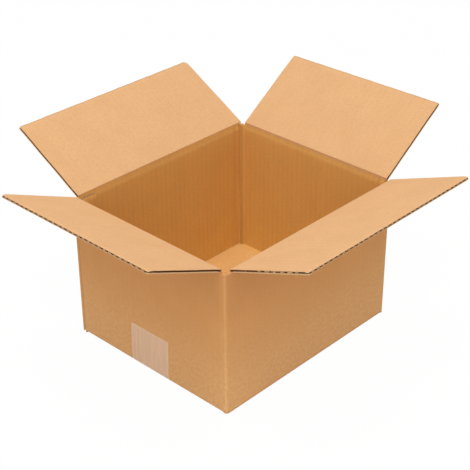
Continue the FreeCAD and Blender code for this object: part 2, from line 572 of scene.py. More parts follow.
@dataclass(frozen=True)
class KraftFinish:
    """Unbleached kraft liner, matt and slightly fibrous, with an optional warm tint below the rim that paints
    the bounce light inside the box.
    """

    name: str
    paper: Rgba
    shade: Rgba
    light: Rgba
    clouds: float = 0.35
    fibres: float = 0.5
    specks: float = 0.6
    flute_print: float = 0.15
    # Painted bounce light inside the box: a warmer, more saturated tint below the rim, redder towards the
    # floor.
    bounce_tint: Rgba | None = None
    bounce_tint_low: Rgba = (0.762, 0.462, 0.120, 1.0)
    depths_print: float = 0.5
    depths_rim: tuple[float, float] = (150.0 * MM, 150.8 * MM)
    depths_foot: tuple[float, float] = (-10.0 * MM, -2.0 * MM)
    depths_fade: tuple[float, float] = (10.0 * MM, 130.0 * MM)
    floor_depth: float = 0.55
    roughness: float = 0.78
    relief: float = 0.05 * MM

    def material(self, paper_group: bpy.types.NodeTree, board: Board) -> bpy.types.Material:
        """Make the material.

        Args:
            paper_group: Kraft paper group.
            board: Board that sets the flute pitch.

        Returns:
            The new material.
        """
        material, graph, output = new_material(self.name)
        blank = graph.attribute(BLANK, "Vector")
        values = {"Vector": blank, "Paper": self.paper, "Shade": self.shade, "Light": self.light,
                  "Clouds": self.clouds, "Fibres": self.fibres, "Specks": self.specks,
                  "Flute print": self.flute_print, "Flute pitch": board.pitch}
        # Below the rim, paint the warm bounce light of the box's inside, with a darker copy of the tint as
        # its shade tone.
        if self.bounce_tint is not None:
            up = graph.node("ShaderNodeSeparateXYZ", {0: blank}).outputs[1]
            below = graph.math("MULTIPLY", graph.ramp(up, *self.depths_rim, 1.0, 0.0),
                               graph.ramp(up, *self.depths_foot, self.floor_depth, 1.0))
            darker = toned(self.bounce_tint, 0.86, 0.86, 0.86)
            deep = graph.mix(graph.ramp(up, *self.depths_fade), self.bounce_tint_low, self.bounce_tint)
            values["Paper"] = graph.mix(below, self.paper, deep)
            values["Shade"] = graph.mix(below, self.shade, darker)
            values["Flute print"] = graph.ramp(below, self.floor_depth, 1.0, self.flute_print,
                                               self.depths_print)
        paper = graph.node("ShaderNodeGroup", values, node_tree=paper_group)
        uneven = graph.ramp(graph.noise(blank, 300.0), 0.35, 0.65, 0.5, 1.0)
        # The wear attribute lightens the paper for rubbed wear and painted light, and darkens it for painted
        # shade and darker rims.
        wear = graph.attribute(WEAR_AND_LIGHT, "Fac")
        rubbed_and_lit = graph.math("MULTIPLY", graph.math("MAXIMUM", wear, 0.0), uneven)
        darkening = graph.math("MAXIMUM", graph.math("MULTIPLY", wear, -1.0), 0.0)
        darkening_colour = toned(self.bounce_tint or self.shade, 0.45, 0.37, 0.28)
        colour = graph.mix(darkening, graph.mix(rubbed_and_lit, paper.outputs["Color"], self.light), darkening_colour)
        rough = graph.ramp(paper.outputs["Fibre mask"], 0.0, 1.0, self.roughness, self.roughness + 0.12)
        relief = graph.node("ShaderNodeBump", {"Strength": 0.6, "Distance": self.relief,
                                               "Height": paper.outputs["Height"]})
        shader = graph.node("ShaderNodeBsdfPrincipled",
                            {"Base Color": colour, "Roughness": rough, "Normal": relief.outputs[0],
                             "Specular IOR Level": 0.25})
        graph.tree.links.new(shader.outputs[0], output.inputs["Surface"])
        return material


@dataclass(frozen=True)
class CutFinish:
    """Raw pulp of a cut edge or of the medium, with painted shade in the hollows of the flutes where the cut
    is closed.
    """

    name: str
    paper: Rgba
    hollow_shade: Rgba
    fluted: bool = True

    def material(self, section: bpy.types.NodeTree, board: Board) -> bpy.types.Material:
        """Make the material.

        Args:
            section: Board section group.
            board: Board that sets the thicknesses and the flute pitch.

        Returns:
            The new material.
        """
        material, graph, output = new_material(self.name)
        blank = graph.attribute(BLANK, "Vector")
        torn = graph.noise(blank, 2600.0, 3.0, 0.6)
        darker = toned(self.paper, 0.74, 0.74, 0.74)
        colour = graph.mix(graph.ramp(torn, 0.3, 0.7), darker, self.paper)
        height = torn
        if self.fluted:
            values = {"Vector": blank, "Thickness": board.thickness, "Liner": board.liner,
                      "Medium": board.medium, "Flute pitch": board.pitch}
            cut = graph.node("ShaderNodeGroup", values, node_tree=section)
            # Paint the shade of the open flutes into the hollows of the cut.
            colour = graph.mix(cut.outputs["Paper"], self.hollow_shade, colour)
            height = graph.math("MULTIPLY_ADD", torn, 0.3, cut.outputs["Paper"])
        relief = graph.node("ShaderNodeBump", {"Strength": 0.5, "Distance": 0.12 * MM, "Height": height})
        shader = graph.node("ShaderNodeBsdfPrincipled",
                            {"Base Color": colour, "Roughness": 0.9, "Normal": relief.outputs[0],
                             "Specular IOR Level": 0.15})
        graph.tree.links.new(shader.outputs[0], output.inputs["Surface"])
        return material


@dataclass(frozen=True)
class TapeFinish:
    """Clear packing film, hazed by its adhesive, with faint streaks along the strip."""

    name: str = "packing film"
    film: Rgba = (0.915, 0.600, 0.365, 1.0)
    haze: Rgba = (0.93, 0.62, 0.385, 1.0)
    cover: float = 0.70
    roughness: float = 0.30

    def material(self) -> bpy.types.Material:
        """Make the material.

        Returns:
            The new material.
        """
        material, graph, output = new_material(self.name)
        place = graph.attribute(BLANK, "Vector")
        tone_shift = graph.attribute(WEAR_AND_LIGHT, "Fac")
        streaks = graph.noise(graph.stretch(place, (1.0, 0.03, 1.0)), 620.0, 3.0, 0.6)
        bubbles = graph.noise(place, 260.0, 4.0, 0.6)
        patches = graph.ramp(bubbles, 0.2, 0.65, 0.5, 1.0)
        hazed = graph.math("MULTIPLY", graph.ramp(streaks, 0.35, 0.70), patches)
        colour = graph.mix(graph.math("MAXIMUM", hazed, tone_shift), self.film, self.haze)
        covered = graph.ramp(hazed, 0.0, 1.0, self.cover - 0.02, self.cover + 0.06)
        cover = graph.math("MULTIPLY_ADD", tone_shift, 0.12, covered)
        rough = graph.ramp(bubbles, 0.3, 0.7, self.roughness, self.roughness + 0.15)
        relief = graph.node("ShaderNodeBump", {"Strength": 0.14, "Distance": 0.08 * MM, "Height": streaks})
        shader = graph.node("ShaderNodeBsdfPrincipled",
                            {"Base Color": colour, "Roughness": rough, "Alpha": cover,
                             "Normal": relief.outputs[0]})
        graph.tree.links.new(shader.outputs[0], output.inputs["Surface"])
        return material


@dataclass
class Paint:
    """Finishes of the board's surfaces and of the tape."""

    board: Board
    outer: KraftFinish = KraftFinish(
        "kraft outside", (0.660, 0.315, 0.105, 1.0), (0.590, 0.265, 0.080, 1.0), (0.800, 0.460, 0.200, 1.0),
        clouds=0.25, fibres=0.75)
    # The inner finish paints the warm bounce light inside the box with its bounce tint.
    inner: KraftFinish = KraftFinish(
        "kraft inside", (0.715, 0.412, 0.196, 1.0), (0.620, 0.340, 0.150, 1.0), (0.820, 0.520, 0.280, 1.0),
        clouds=0.3, fibres=1.1, flute_print=0.12, bounce_tint=(0.765, 0.405, 0.110, 1.0), depths_print=0.50)
    # The cut board paints shade into the hollows of its flutes.
    cut: CutFinish = CutFinish("cut board", (0.72, 0.45, 0.24, 1.0), (0.15, 0.065, 0.025, 1.0))
    pulp: CutFinish = CutFinish("torn pulp", (0.76, 0.47, 0.235, 1.0), (0.30, 0.15, 0.06, 1.0), fluted=False)
    # Dark paper that paints the shade inside the flutes.
    flute_shade: CutFinish = CutFinish("painted shade inside the flutes", (0.24, 0.075, 0.020, 1.0), (0.24, 0.075, 0.020, 1.0),
                                 fluted=False)
    tape: TapeFinish = TapeFinish()
    surfaces: list[bpy.types.Material] = field(default_factory=list)

    def mix(self) -> None:
        """Make the board's materials, in the order of the surfaces."""
        paper, section = kraft_paper(), board_section()
        self.surfaces = [self.outer.material(paper, self.board), self.inner.material(paper, self.board),
                         self.cut.material(section, self.board), self.pulp.material(section, self.board),
                         self.flute_shade.material(section, self.board)]


@dataclass(frozen=True)
class Fold:
    """Upright corner fold: its outer radius, the crushed band inside it, and where the walls meet it."""

    before: Wall
    after: Wall
    end: float
    start: float
    radius: float = 2.8 * MM
    band: float = 6.1 * MM
    band_depth: float = 3.0 * MM
    ridge: float = 0.16 * MM
    groove: float = 0.30 * MM
    steps: int = 8

    @property
    def travel(self) -> float:
        """Length of the outer skin over the crushed band."""
        return 2.0 * (self.band - self.radius) + self.radius * math.pi / 2.0

    def inner(self, share: np.ndarray) -> tuple[np.ndarray, np.ndarray]:
        """Inner skin across the crushed band.

        Args:
            share: How far across the band, 0 to 1.

        Returns:
            Distance back from the outer corner along the wall before it, and inward distance.
        """
        run = self.band - self.band_depth
        dip = self.groove * (bump(share, 0.0, 0.16) + bump(share, 1.0, 0.16))
        return self.band - run * share - dip * 0.7, self.band_depth + run * share - dip * 0.7

    def shift(self, gap: np.ndarray) -> tuple[np.ndarray, np.ndarray]:
        """How the inner skin of a wall moves near the fold.

        Args:
            gap: Distance from the outer corner along the wall.

        Returns:
            Move away from the corner along the wall, and move inwards.
        """
        share = np.clip((self.band - gap) / self.travel, 0.0, 1.0)
        back, deep = self.inner(share)
        inside = gap < self.band
        ridge = self.ridge * bump(gap, self.band + 1.9 * MM, 1.0 * MM)
        edge_dip = -0.7 * self.groove * bump((gap - self.band) / self.travel, 0.0, 0.16)
        return np.where(inside, back - gap, 0.0), np.where(inside, deep - self.band_depth, ridge + edge_dip)

    def arc(self) -> tuple[np.ndarray, np.ndarray, np.ndarray]:
        """Plan of the rounded part.

        Returns:
            Outer points, inner points, and the length of outer skin from the start of the arc.
        """
        angle = np.linspace(0.0, math.pi / 2.0, self.steps + 1)
        corner = self.before.point(np.array(self.end), np.array(0.0), np.array(0.0))
        back = self.radius * (1.0 - np.sin(angle))
        deep = self.radius * (1.0 - np.cos(angle))
        share = (self.band - self.radius + self.radius * angle) / self.travel
        inner_back, inner_deep = self.inner(share)
        outer = corner - back[:, None] * self.before.along + deep[:, None] * self.before.inward
        inner = corner - inner_back[:, None] * self.before.along + inner_deep[:, None] * self.before.inward
        return outer, inner, self.radius * angle


@dataclass
class Rows:
    """Section of a wall from its score line down its face and out under the floor."""

    outer: np.ndarray
    inner: np.ndarray
    down: np.ndarray
    corner_share: np.ndarray
    upright: np.ndarray
    below: np.ndarray
    rub_and_light_outer: np.ndarray
    rub_and_shade_inner: np.ndarray
    first: int
    last: int


@dataclass
class FoldedBody:
    """Walls, corner folds, bottom flaps and glue tab of the blank."""

    sizes: BoxSizes
    board: Board
    walls: dict[Side, Wall]
    fold_radius: float = 3.0 * MM
    fold_crush: float = 1.5 * MM
    layer_gap: float = 0.15 * MM
    short_sag: float = 1.95 * MM
    bottom_reach: float = 93.0 * MM
    outer_slot: float = 5.0 * MM
    inner_slot: float = 3.1 * MM
    belly: float = 0.35 * MM
    tab_width: float = 21.0 * MM
    joint_setback: float = 0.5 * MM
    tab_gap: float = 0.03 * MM
    wall_rows: int = 11
    post_rows: int = 4
    side_fade: float = 25.0 * MM
    # Height below which painted light from the floor lightens the outer walls.
    floor_light_below: float = 110.0 * MM
    # Strength and reach of the painted shade that the top flaps cast near the front left corner.
    flap_shade_top: float = 0.20
    flap_shade_from: float = 85.0 * MM
    flap_shade_rise: float = 60.0 * MM
    flap_shade_reach: float = 70.0 * MM

    def foot(self, wall: Wall) -> float:
        """Height of the underside of a wall's bottom fold."""
        lift = self.board.thickness + self.layer_gap - self.short_sag
        return self.sizes.base + (0.0 if wall.long else lift)

    def rows(self, wall: Wall) -> Rows:
        """Section of a wall, with the same number of rows for each wall.

        Args:
            wall: The wall.

        Returns:
            Its rows, from the score line down and in under the floor.
        """
        thick = self.board.thickness
        high, low = self.sizes.ring_high, self.sizes.ring_low
        near = np.array([0.0, 0.18, 0.40, 0.68]) * (wall.crease - high)
        ring = np.concatenate([high - np.array([0.0, 0.2, 0.45, 0.9, 1.5, 2.5, 4.0]) * MM,
                               np.linspace(high - 7.0 * MM, low, self.wall_rows)])
        heights = np.concatenate([wall.crease - near, ring])
        reach = wall.crease - heights
        depth = self.board.depth(reach, False)
        lean = wall.tilt / 2.0 * (1.0 - smooth(reach / (1.0 * MM)))
        outer = [np.stack([np.zeros_like(heights), heights], axis=-1)]
        inner = [np.stack([depth * np.cos(lean), heights + depth * np.sin(lean)], axis=-1)]
        foot, radius = self.foot(wall), self.fold_radius
        share = np.linspace(0.0, 1.0, 7)
        angle = share * math.pi / 2.0
        start = np.array([thick, foot + thick + self.fold_crush])
        end = np.array([thick + self.fold_crush, foot + thick])
        bend = np.stack([1.0 - np.cos(angle), 1.0 - np.sin(angle)], axis=-1)
        outer.append(np.array([0.0, foot]) + radius * bend)
        chamfer = start + share[:, None] * (end - start)
        pressed = 0.25 * MM * np.sin(math.pi * share)[:, None]
        inner.append(chamfer - pressed * np.array([0.7, 0.7]))
        run = np.concatenate([np.array([5.0, 6.5, 9.0]) * MM, np.linspace(14.0 * MM, self.bottom_reach, 8)])
        sag = 0.0 if wall.long else self.short_sag
        rise = foot + sag * smooth((run - radius) / (5.0 * MM))
        outer.append(np.stack([run, rise], axis=-1))
        inner.append(np.stack([run, rise + thick], axis=-1))
        outer_line, inner_line = np.concatenate(outer), np.concatenate(inner)
        step = np.linalg.norm(np.diff(outer_line, axis=0), axis=1)
        down = np.concatenate([[0.0], np.cumsum(step)])
        first = len(near)
        last = first + len(ring) - 1
        level = np.arange(len(down))
        above = np.maximum(outer_line[:, 1] - high, 0.0)
        below = np.where(level > last, down - down[last], 0.0)
        fold_at = down[last] + (outer_line[last, 1] - foot - radius) + radius * math.pi / 4.0
        return Rows(
            outer=outer_line,
            inner=inner_line,
            down=down,
            corner_share=1.0 - smooth((above + below) / (2.0 * MM)),
            upright=1.0 - smooth((down - fold_at + 2.0 * MM) / (4.0 * MM)),
            below=below,
            # Outside: lighter lines at the score line and the bottom fold, and painted light from the floor,
            # stronger towards the bottom.
            rub_and_light_outer=(0.30 * bump(down, 0.0, 0.8 * MM) + 0.35 * bump(down, fold_at, 2.0 * MM)
                       + 0.72 * smooth(1.0 - outer_line[:, 1] / self.floor_light_below) * (level <= last)),
            # Inside: painted shade just below the score line, and a lighter line at the bottom fold.
            rub_and_shade_inner=-0.16 * bump(down, 2.2 * MM, 2.0 * MM) + 0.25 * bump(down, fold_at, 2.5 * MM),
            first=first,
            last=last,
        )

    def corner_rub_and_highlight(self, gap: np.ndarray, height: np.ndarray) -> np.ndarray:
        """A light line beside a corner fold, partly rubbed wear and partly painted highlight of the fold's
        crest, with a wider painted highlight of the bulge beside it.

        Args:
            gap: Distance from the outer corner along the wall before it.
            height: Height above the floor.

        Returns:
            Lightening by rubbing and painted highlight, for each height and each distance.
        """
        middle = 1.3 * MM + 0.003 * height[:, None]
        line = 0.38 * bump(gap[None, :], middle, 0.7 * MM)
        return line + 0.10 * bump(gap[None, :], middle + 3.0 * MM, 3.0 * MM)

    def painted_flap_shade(self, wall: Wall, along: np.ndarray, height: np.ndarray) -> np.ndarray:
        """Painted shade of the flaps at the top of the two walls beside the front left corner.

        Args:
            wall: The wall.
            along: Places of the columns.
            height: Heights of the rows.

        Returns:
            How strongly the painted shade darkens the outside, for each row and column.
        """
        if wall.side not in (Side.LEFT, Side.FRONT):
            return np.zeros((len(height), len(along)))
        gap = wall.half - along if wall.side is Side.LEFT else along + wall.half
        high_up = smooth((height[:, None] - self.flap_shade_from) / self.flap_shade_rise)
        return self.flap_shade_top * high_up * bump(gap[None, :], 0.0, self.flap_shade_reach)

    def spread(self, wall: Wall, along: np.ndarray) -> np.ndarray:
        """How far the bottom flap's places move along the wall to reach its own slots.

        Args:
            wall: The wall.
            along: Places of the columns.

        Returns:
            Move along the wall of each column.
        """
        slot = self.outer_slot if wall.long else self.inner_slot
        near_low = smooth(1.0 - (along - wall.panel_low) / self.side_fade)
        near_high = smooth(1.0 - (wall.panel_high - along) / self.side_fade)
        low_move = slot - wall.half - wall.panel_low
        high_move = wall.half - slot - wall.panel_high
        return near_low * low_move + near_high * high_move

    def fold_shade_and_highlight(self, gap: np.ndarray, height: np.ndarray, crack_shade: float = 0.0) -> np.ndarray:
        """Painted shade over the crushed band in an inside corner, wider towards the top, with a painted
        highlight of the bulge and a painted line of shade at a crack beside it.

        Args:
            gap: Distance from the outer corner along the wall.
            height: Height above the floor.
            crack_shade: Darkness of the painted shade line at a crack beside the band.

        Returns:
            Tone shift, less than 0 where shade is painted and more than 0 where a highlight is painted.
        """
        past = gap - 3.0 * MM
        width = 0.8 * MM + 2.4 * MM * smooth(height / (110.0 * MM))
        depth = 0.34 + 0.10 * (1.0 - smooth(height / (60.0 * MM)))
        band = -depth * (1.0 - smooth((past - width) / (1.0 * MM)))
        crack = -crack_shade * bump(past, 10.5 * MM, 0.9 * MM) * smooth(height / (90.0 * MM))
        return band + crack + 0.18 * bump(past, width + 2.0 * MM, 1.2 * MM)

    def straight(self, wall: Wall, along: np.ndarray, folds: tuple[Fold | None, Fold | None]) -> Skins:
        """Skins of a flat stretch of wall.

        Args:
            wall: The wall.
            along: Places of the columns.
            folds: Corner folds at the wall's start and end.

        Returns:
            Outer points, inner points, outer blank places, inner blank places, outer wear with painted light
            and shade, inner wear with painted shade and highlights.
        """
        rows = self.rows(wall)
        across = wall.middle_across + along
        grid = np.zeros((len(rows.down), len(along)))
        slide, deepen = np.zeros_like(along), np.zeros_like(along)
        for fold, sign in zip(folds, (1.0, -1.0)):
            if fold is None:
                continue
            gap = (along - fold.start) if sign > 0 else (fold.end - along)
            move, deep = fold.shift(gap)
            slide = slide + sign * move
            deepen = deepen + deep
        edge = smooth((wall.half - np.abs(along)) / self.side_fade)
        rise = np.sin(np.clip(math.pi * rows.outer[:, 1] / wall.crease, 0.0, math.pi))
        belly = self.belly * edge[None, :] * rise[:, None] * rows.upright[:, None]
        flat = 1.0 - rows.upright[:, None]
        fade = smooth(rows.down / (4.0 * MM))[:, None]
        outer_print = self.board.ripple(across, False)[None, :] * fade
        inner_print = self.board.ripple(across, True)[None, :] * fade
        share = rows.corner_share[:, None]
        spread = self.spread(wall, along)[None, :] * smooth(rows.below / (6.0 * MM))[:, None]
        outer = wall.point(along[None, :] + spread, rows.outer[:, :1] - belly - outer_print * (1.0 - flat),
                           rows.outer[:, 1:] - outer_print * flat)
        inner = wall.point(along[None, :] + spread + share * slide[None, :],
                           rows.inner[:, :1] - belly + inner_print * (1.0 - flat) + share * deepen[None, :],
                           rows.inner[:, 1:] + inner_print * flat)
        up = (wall.crease - rows.down)[:, None] + grid
        wide = across[None, :] + grid
        outer_blank = np.stack([wide, up, grid], axis=-1)
        inner_blank = np.stack([wide, up, grid + self.board.thickness], axis=-1)
        # Inside: painted shade and highlight of the crushed bands at the corners.
        ridge = np.zeros_like(grid)
        for fold, gap, crack_shade in zip(folds, (along + wall.half, wall.half - along), (0.3, 0.0)):
            if fold is not None:
                band = self.fold_shade_and_highlight(gap[None, :], rows.outer[:, 1:], crack_shade)
                ridge = ridge + share * rows.upright[:, None] * band
        levels = rows.outer[:, 1]
        # Outside: rubbed lines, painted light from the floor, and the rubbed line and painted highlight
        # beside the corner.
        tone_shift = rows.rub_and_light_outer[:, None] + rows.upright[:, None] * self.corner_rub_and_highlight(wall.half - along, levels)
        # Take off the painted shade that the flaps cast near the front left corner.
        tone_shift = tone_shift - self.painted_flap_shade(wall, along, levels)
        shaded = np.clip(rows.rub_and_shade_inner[:, None] + ridge, -1.0, 1.0)
        return outer, inner, outer_blank, inner_blank, tone_shift, shaded

    def turned(self, fold: Fold) -> Skins:
        """Skins of a rounded corner.

        Args:
            fold: The corner fold.

        Returns:
            The same six parts as for a flat stretch.
        """
        rows = self.rows(fold.before)
        outer_plan, inner_plan, length = fold.arc()
        levels = rows.outer[:, 1]
        shape = (len(levels), len(length))
        outer = np.broadcast_to(outer_plan[None], shape + (3,)).copy()
        inner = np.broadcast_to(inner_plan[None], shape + (3,)).copy()
        outer[..., 2] = levels[:, None]
        inner[..., 2] = levels[:, None]
        across = fold.before.middle_across + fold.end - fold.radius + length
        up = (fold.before.crease - rows.down)[:, None] + np.zeros(shape)
        wide = np.broadcast_to(across[None, :], shape)
        outer_blank = np.stack([wide, up, np.zeros(shape)], axis=-1)
        inner_blank = np.stack([wide, up, np.full(shape, self.board.thickness)], axis=-1)
        gap = fold.radius * (1.0 - np.sin(length / fold.radius))
        # Outside the rounded corner: rubbed lines, painted light from the floor, and the rubbed line and
        # painted highlight of the fold.
        tone_shift = rows.rub_and_light_outer[:, None] + rows.upright[:, None] * self.corner_rub_and_highlight(gap, levels)
        # Take off the painted shade that the flaps cast near the front left corner.
        tone_shift = tone_shift - self.painted_flap_shade(fold.before, np.full(len(gap), fold.end), levels)
        # Inside the rounded corner: painted shade over the crushed band.
        deep = np.full((1, shape[1]), fold.band_depth)
        shaded = rows.upright[:, None] * self.fold_shade_and_highlight(deep, levels[:, None])
        return outer, inner, outer_blank, inner_blank, tone_shift, np.broadcast_to(shaded, shape)

    def panel_columns(self, wall: Wall) -> np.ndarray:
        """Columns of a wall between its cut edges, closer together beside the corners."""
        fine = np.arange(0.0, 6.6, 0.55) * MM
        low, high = wall.panel_low, wall.panel_high
        middle = self.board.columns(low + 6.6 * MM, high - 6.6 * MM)
        return np.concatenate([low + fine, middle, (high - fine)[::-1]])

    def build(self, paint: "Paint") -> bpy.types.Object:
        """Build the body, dress it and let it stand for its node.

        Args:
            paint: Finishes.

        Returns:
            The piece.
        """
        left, front = self.walls[Side.LEFT], self.walls[Side.FRONT]
        right, back = self.walls[Side.RIGHT], self.walls[Side.BACK]
        inset = self.board.thickness + self.tab_gap
        tab_sizes = BoxSizes(self.sizes.half_length, self.sizes.half_width - inset, self.sizes.base)
        tab = Wall(Side.BACK, tab_sizes, 0.0, 0.0, back.reach_out, back.reach_up)
        glued = Fold(tab, left, end=left.distance, start=-tab.distance, radius=1.8 * MM, band=5.0 * MM)
        folds = [Fold(left, front, left.half, -front.half), Fold(front, right, front.half, -right.half),
                 Fold(right, back, right.half, -back.half)]
        stretches: list[Skins] = []
        flags: list[np.ndarray] = []

        def gather(skins: Skins, flag: int) -> None:
            """Keep a stretch and what it is: 0 corner, 1 to 4 a panel, -1 the glue tab."""
            stretches.append(skins)
            flags.append(np.full(skins[0].shape[1], flag))

        tab_end = left.distance - glued.radius
        tab_start = left.distance - self.board.thickness - self.tab_width
        tab_columns = self.board.columns(tab_start, tab_end - 0.4 * MM)
        gather(self.straight(tab, tab_columns, (None, glued)), -1)
        gather(self.turned(glued), 0)
        for number, (wall, before, after) in enumerate(
                ((left, glued, folds[0]), (front, folds[0], folds[1]), (right, folds[1], folds[2]),
                 (back, folds[2], None)), start=1):
            if number > 1:
                gather(self.turned(before), 0)
            gather(self.straight(wall, self.panel_columns(wall), (before, after)), number)
        last_columns = np.linspace(back.panel_high + 0.6 * MM, back.half - self.joint_setback, 3)
        gather(self.straight(back, last_columns, (folds[2], None)), 0)

        outer, inner, outer_blank, inner_blank, outer_wear_and_light, inner_wear_and_light = (
            np.concatenate([stretch[part] for stretch in stretches], axis=1) for part in range(6))
        flag = np.concatenate(flags)
        rows = self.rows(left)
        panel = (flag[:-1] == flag[1:]) & (flag[:-1] > 0)
        tab_cell = (flag[:-1] == -1) & (flag[1:] == -1)
        level = np.arange(len(rows.down) - 1)
        in_ring = (level >= rows.first) & (level < rows.last + self.post_rows)
        in_tab = (level >= rows.first + 3) & (level < rows.last - 1)
        ring_part = in_ring[:, None] & ~tab_cell[None, :]
        tab_part = in_tab[:, None] & tab_cell[None, :]
        mask = ring_part | tab_part | panel[None, :]
        mesh = SheetMesh("folded_blank")
        first = mesh.add(outer, outer_blank, outer_wear_and_light)
        second = mesh.add(inner, inner_blank, inner_wear_and_light)
        cuts = np.where(tab_cell, int(Surface.CUT), int(Surface.OUTER))
        mesh.slab(first, second, (Surface.OUTER, Surface.INNER, Surface.CUT), mask, cuts)
        piece = mesh.build(paint.surfaces)
        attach(piece, "box")
        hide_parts("box_body")
        return piece


@dataclass(frozen=True)
class EdgeWear:
    """Small faults of a flap: open cut sides, round far corners, a darker rim, a torn edge and a skew cut."""

    open_before: float = 1.4 * MM
    open_after: float = 1.4 * MM
    ragged: float = 0.25
    round_before: float = 1.0 * MM
    round_after: float = 1.0 * MM
    darkening: float = 0.0
    torn: bool = False
    skew: float = 0.0
    seed: float = 0.0


@dataclass
class TopFlap:
    """Top flap of the blank, from its score line to its cut edge with open flutes."""

    wall: Wall
    board: Board
    node: str
    wear: EdgeWear
    flute_depth: float = 12.0 * MM
    blend_reach: float = 2.2 * MM
    crush: float = 0.8 * MM
    crush_reach: float = 4.0 * MM
    set_back: float = 0.35 * MM
    lip: float = 0.8 * MM

    def place(self, along: np.ndarray, down: np.ndarray, through: np.ndarray) -> np.ndarray:
        """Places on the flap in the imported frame.

        Args:
            along: Distance along the wall from its middle.
            down: Distance from the score line.
            through: Distance from the outer face through the board.

        Returns:
            One point for each place.
        """
        wall, wear = self.wall, self.wear
        depth = wall.flap_depth
        along, down, through = (part.astype(float) for part in np.broadcast_arrays(along, down, through))
        share = down / depth
        slow = 0.16 * MM * wander(along, wear.seed, 31.0 * MM)
        fast = 0.06 * MM * wander(along, 2.0 + wear.seed, 5.7 * MM)
        down = down + (slow + fast) * share**10
        middle, half = (wall.low + wall.high) / 2.0, (wall.high - wall.low) / 2.0
        side = np.clip((along - middle) / half, -1.0, 1.0)
        down = down + wear.skew * side * share
        along = along + 0.18 * MM * wander(down, 1.0 + wear.seed, 43.0 * MM) * np.abs(side) ** 40
        for radius, sign in ((wear.round_before, -1.0), (wear.round_after, 1.0)):
            outside = sign * (along - middle) - (half - radius)
            beyond = down - (depth - radius)
            near = (outside > 0.0) & (beyond > 0.0)
            square = np.maximum(outside, beyond)
            pull = np.where(near, square / np.maximum(np.hypot(outside, beyond), 1e-9), 1.0)
            along = np.where(near, middle + sign * (half - radius + outside * pull), along)
            down = np.where(near, depth - radius + beyond * pull, down)
        lean = wall.tilt * (0.5 + 0.5 * smooth(down / (1.0 * MM)))
        flat = down * math.sin(wall.tilt)
        rise = down * math.cos(wall.tilt)
        return wall.point(along, through * np.cos(lean) - flat, wall.crease + rise + through * np.sin(lean))

    def sheet(self, mesh: SheetMesh, along: np.ndarray, down: np.ndarray,
              through: tuple[np.ndarray | float, np.ndarray | float],
              surfaces: tuple[Surface, Surface, Surface]) -> None:
        """Add one layer of the board.

        Args:
            mesh: Piece to add to.
            along: Columns, alone or for each row.
            down: Rows.
            through: Distances of the layer's two faces from the outer face.
            surfaces: Surfaces of its outer face, inner face and edges.
        """
        grids = []
        rows = down[:, None]
        for face in through:
            wide = np.broadcast_to(along, (len(down), along.shape[-1]))
            deep = np.broadcast_to(face, wide.shape)
            high = np.broadcast_to(self.wall.crease + rows, wide.shape)
            blank = np.stack([self.wall.middle_across + wide, high, deep], axis=-1)
            # Darker paper along the inner rim of the free edge.
            tone_shift = -self.wear.darkening * smooth((rows - self.wall.flap_depth + 1.6 * MM) / (1.2 * MM))
            grids.append(mesh.add(self.place(wide, rows, deep), blank, np.broadcast_to(tone_shift, wide.shape)))
        mesh.slab(grids[0], grids[1], surfaces)

    def thickness(self, down: np.ndarray, along: np.ndarray) -> np.ndarray:
        """Thickness of the board, less where the knife pressed its free edge.

        Args:
            down: Distances from the score line.
            along: Distances along the wall from its middle.

        Returns:
            One thickness for each pair of places.
        """
        near_cut = smooth((down - self.wall.flap_depth + self.crush_reach) / self.crush_reach)
        pressed = self.board.depth(down, True) - self.crush * near_cut
        return np.broadcast_to(pressed, np.broadcast_shapes(down.shape, along.shape))

    def build(self, paint: "Paint") -> bpy.types.Object:
        """Build the flap from the box's score line, dress it and let it stand for its node.

        Args:
            paint: Finishes.

        Returns:
            The piece.
        """
        wall, board = self.wall, self.board
        depth = wall.flap_depth
        near = np.array([0.0, 0.12, 0.25, 0.4, 0.55, 0.75, 1.2, 1.8, 2.5, 3.5, 5.0, 8.0]) * MM
        rows = np.concatenate([near, np.linspace(14.0 * MM, depth - self.flute_depth, 8),
                               depth - np.array([9.0, 6.0, 4.5, 3.0, 2.0, 1.0, 0.4, 0.0]) * MM])
        ends = np.array([0.0, 0.4, 1.0, 2.0, 4.0]) * MM
        middle = board.columns(wall.low, wall.high)[5:-5]
        columns = np.concatenate([wall.low + ends, middle, (wall.high - ends)[::-1]])
        across = wall.middle_across + columns
        fade = smooth(rows / (4.0 * MM))[:, None]
        full = self.thickness(rows[:, None], columns[None, :])
        outer_face = -board.ripple(across, False)[None, :] * fade
        inner_face = full + board.ripple(across, True)[None, :] * fade
        mesh = SheetMesh(self.node + "_board")
        gap = np.minimum(columns - wall.low, wall.high - columns)
        lip = self.lip * smooth(1.0 - gap / (2.5 * MM))[None, :] * fade
        # The liners' faces towards the flutes take the painted shade of the flutes.
        self.sheet(mesh, columns, rows, (outer_face, outer_face + board.liner + lip),
                   (Surface.OUTER, Surface.FLUTE_SHADE, Surface.PULP))
        self.sheet(mesh, columns, rows, (inner_face - board.liner, inner_face),
                   (Surface.FLUTE_SHADE, Surface.INNER, Surface.PULP))
        self.core(mesh, depth)
        self.flutes(mesh, depth)
        piece = mesh.build(paint.surfaces)
        start = wall.point(np.array(0.0), np.array(0.0), np.array(wall.crease))
        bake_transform(piece)
        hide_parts(self.node)
        return piece

